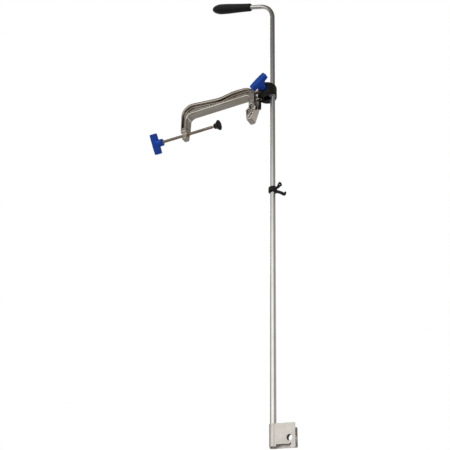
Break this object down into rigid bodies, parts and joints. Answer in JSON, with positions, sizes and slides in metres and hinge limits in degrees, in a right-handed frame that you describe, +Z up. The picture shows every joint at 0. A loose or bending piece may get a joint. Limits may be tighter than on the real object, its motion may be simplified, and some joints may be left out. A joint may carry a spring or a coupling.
{
  "type": "bike repair stand",
  "caption": "Slim bent pole with a hand grip, a sliding swivel C-clamp with a screw and pad, a cord hook and a slotted foot bracket.",
  "frame": {"origin": "centre of the cross bore through the two flanges of the foot bracket, midway between them", "axes": "+Z up along the pole, -X out along the hand grip and the C-clamp, +X along the flanges of the foot bracket, +Y through the cross bore"},
  "size_m": [0.4155, 0.0794, 1.2714],
  "materials": {
    "satin_aluminium": "satin anodised tube",
    "pale_aluminium": "pale brushed strap",
    "rivet_aluminium": "plain rivet",
    "chrome": "polished plated casting",
    "zinc_steel": "zinc plated, slightly warm",
    "blackened_steel": "black oxide",
    "brass": "turned",
    "black_rubber": "matte moulded",
    "black_plastic": "fine grained",
    "blue_plastic": "semi-gloss moulded",
    "white_nylon": "natural nylon"
  },
  "bodies": {
    "mast": {"mast_tube": "satin_aluminium", "tube_plug": "white_nylon", "hand_grip": "black_rubber", "foot_bracket": "pale_aluminium", "bracket_rivets": "rivet_aluminium"},
    "hook": {"cord_hook": "black_plastic"},
    "liner": {"clamp_liner": "white_nylon"},
    "rod_clamp": {"front_cheek": "black_plastic", "rear_cheek": "black_plastic", "friction_washers": "black_rubber", "clamp_stud": "zinc_steel", "knob_washer": "zinc_steel"},
    "knob": {"wing_knob": "blue_plastic", "knob_insert": "brass"},
    "link": {"swivel_link": "blackened_steel"},
    "frame": {"c_frame": "chrome", "link_pin": "blackened_steel", "pin_cap": "black_rubber", "screw_bush": "brass"},
    "pad_carriage": {"pad_race": "white_nylon"},
    "screw": {"clamp_screw": "zinc_steel", "t_handle": "blue_plastic", "handle_pin": "zinc_steel"},
    "pad": {"swivel_pad": "black_plastic", "pad_face": "black_rubber"}
  },
  "joints": [
    {"name": "hook_slide", "type": "slide", "parent": "mast", "child": "hook", "axis": [0, 0, 1], "range_m": [-0.25, 0.02]},
    {"name": "clamp_slide", "type": "slide", "parent": "mast", "child": "liner", "axis": [0, 0, 1], "range_m": [-0.18, 0.1]},
    {"name": "clamp_turn", "type": "hinge", "parent": "liner", "child": "rod_clamp", "pos_m": [-0.036, 0, 0.8544], "axis": [0, 0, 1], "continuous": true},
    {"name": "clamp_tilt", "type": "hinge", "parent": "rod_clamp", "child": "link", "pos_m": [-0.053, 0, 0.8544], "axis": [0, 1, 0], "range_deg": [-15, 35]},
    {"name": "frame_swivel", "type": "hinge", "parent": "link", "child": "frame", "pos_m": [-0.0725, 0, 0.8544], "axis": [0, 0, 1], "range_deg": [-25, 25]},
    {"name": "screw_feed", "type": "slide", "parent": "frame", "child": "pad_carriage", "axis": [1, 0, 0], "range_m": [-0.06, 0.056]},
    {"name": "screw_spin", "type": "hinge", "parent": "pad_carriage", "child": "screw", "pos_m": [-0.2012, 0, 0.7967], "axis": [1, 0, 0], "continuous": true},
    {"name": "pad_tilt", "type": "hinge", "parent": "pad_carriage", "child": "pad", "pos_m": [-0.2012, 0, 0.7967], "axis": [0, 1, 0], "range_deg": [-8, 8]},
    {"name": "knob_turn", "type": "hinge", "parent": "rod_clamp", "child": "knob", "pos_m": [-0.053, 0, 0.8544], "axis": [0, 1, 0], "continuous": true}
  ],
  "couplings": [
    {"joint": "screw_spin", "follows": "screw_feed", "rad_per_m": 5026.5}
  ]
}
